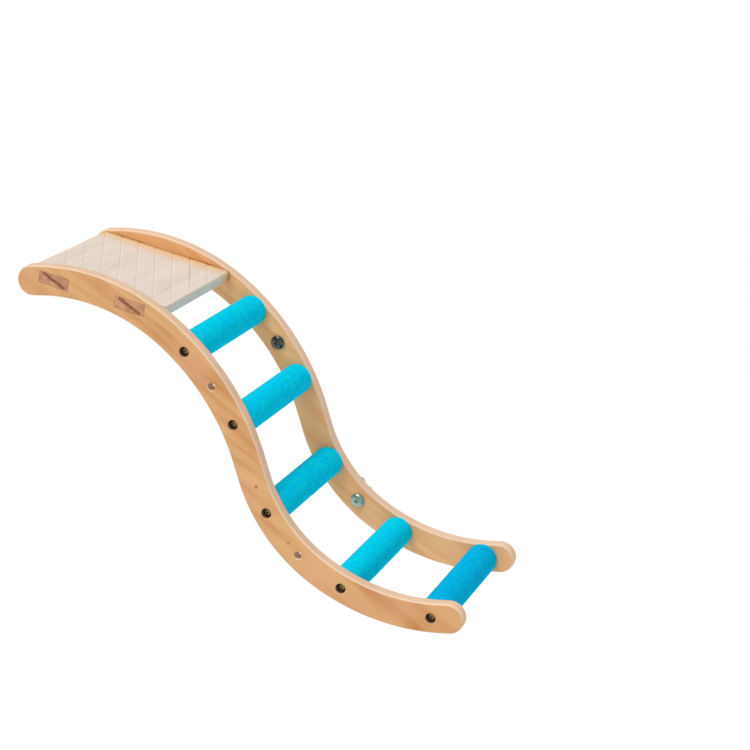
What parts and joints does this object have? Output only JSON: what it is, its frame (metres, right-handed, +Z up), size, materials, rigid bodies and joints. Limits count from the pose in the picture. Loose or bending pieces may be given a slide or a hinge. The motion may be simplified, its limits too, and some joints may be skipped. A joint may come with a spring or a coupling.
{
  "type": "curved pet climbing ladder",
  "caption": "S-curved wooden climbing ladder with a grooved platform, thick cyan grit-coated rungs and two bolt-and-wing-nut clamps for a cage wall.",
  "frame": {"origin": "on the rear rail's outer face, halfway along the straight run between its two bends, where it bears on the cage wall", "axes": "+X from the platform towards the foot, +Y out of the rear rail into the cage wall, +Z up"},
  "size_m": [0.2883, 0.1247, 0.2056],
  "materials": {
    "pine": "sanded, lightly oiled",
    "pale_board": "pale, scored, matte",
    "dark_wedge": "dark hardwood, matte",
    "cyan_grit": "fine bonded grit, matte",
    "screw_steel": "zinc plated",
    "bright_chrome": "polished"
  },
  "bodies": {
    "ladder": {"front_rail": "pine", "rear_rail": "pine", "platform_board": "pale_board", "front_upper_tenon_wedge": "dark_wedge", "rear_upper_tenon_wedge": "dark_wedge", "front_lower_tenon_wedge": "dark_wedge", "rear_lower_tenon_wedge": "dark_wedge", "rung_core_1": "pine", "rung_core_2": "pine", "rung_core_3": "pine", "rung_core_4": "pine", "rung_core_5": "pine", "rung_grit_sleeve_1": "cyan_grit", "rung_grit_sleeve_2": "cyan_grit", "rung_grit_sleeve_3": "cyan_grit", "rung_grit_sleeve_4": "cyan_grit", "rung_grit_sleeve_5": "cyan_grit", "front_rung_screw_1": "screw_steel", "rear_rung_screw_1": "screw_steel", "front_rung_screw_2": "screw_steel", "rear_rung_screw_2": "screw_steel", "front_rung_screw_3": "screw_steel", "rear_rung_screw_3": "screw_steel", "front_rung_screw_4": "screw_steel", "rear_rung_screw_4": "screw_steel", "front_rung_screw_5": "screw_steel", "rear_rung_screw_5": "screw_steel", "upper_clamp_bolt": "bright_chrome", "lower_clamp_bolt": "bright_chrome"},
    "upper_washer": {"upper_clamp_washer": "screw_steel"},
    "upper_nut": {"upper_wing_nut": "bright_chrome"},
    "lower_washer": {"lower_clamp_washer": "screw_steel"},
    "lower_nut": {"lower_wing_nut": "bright_chrome"}
  },
  "joints": [
    {"name": "upper_washer_slide", "type": "slide", "parent": "ladder", "child": "upper_washer", "axis": [0, 1, 0], "range_m": [0, 0.009]},
    {"name": "upper_nut_spin", "type": "hinge", "parent": "upper_washer", "child": "upper_nut", "pos_m": [-0.02331, 0.0018, 0.04973], "axis": [0, 1, 0], "range_deg": [0, 4640]},
    {"name": "lower_washer_slide", "type": "slide", "parent": "ladder", "child": "lower_washer", "axis": [0, 1, 0], "range_m": [0, 0.009]},
    {"name": "lower_nut_spin", "type": "hinge", "parent": "lower_washer", "child": "lower_nut", "pos_m": [0.03086, 0.0018, -0.05142], "axis": [0, 1, 0], "range_deg": [0, 4640]}
  ],
  "couplings": [
    {"joint": "upper_nut_spin", "follows": "upper_washer_slide", "rad_per_m": 8976},
    {"joint": "lower_nut_spin", "follows": "lower_washer_slide", "rad_per_m": 8976}
  ]
}
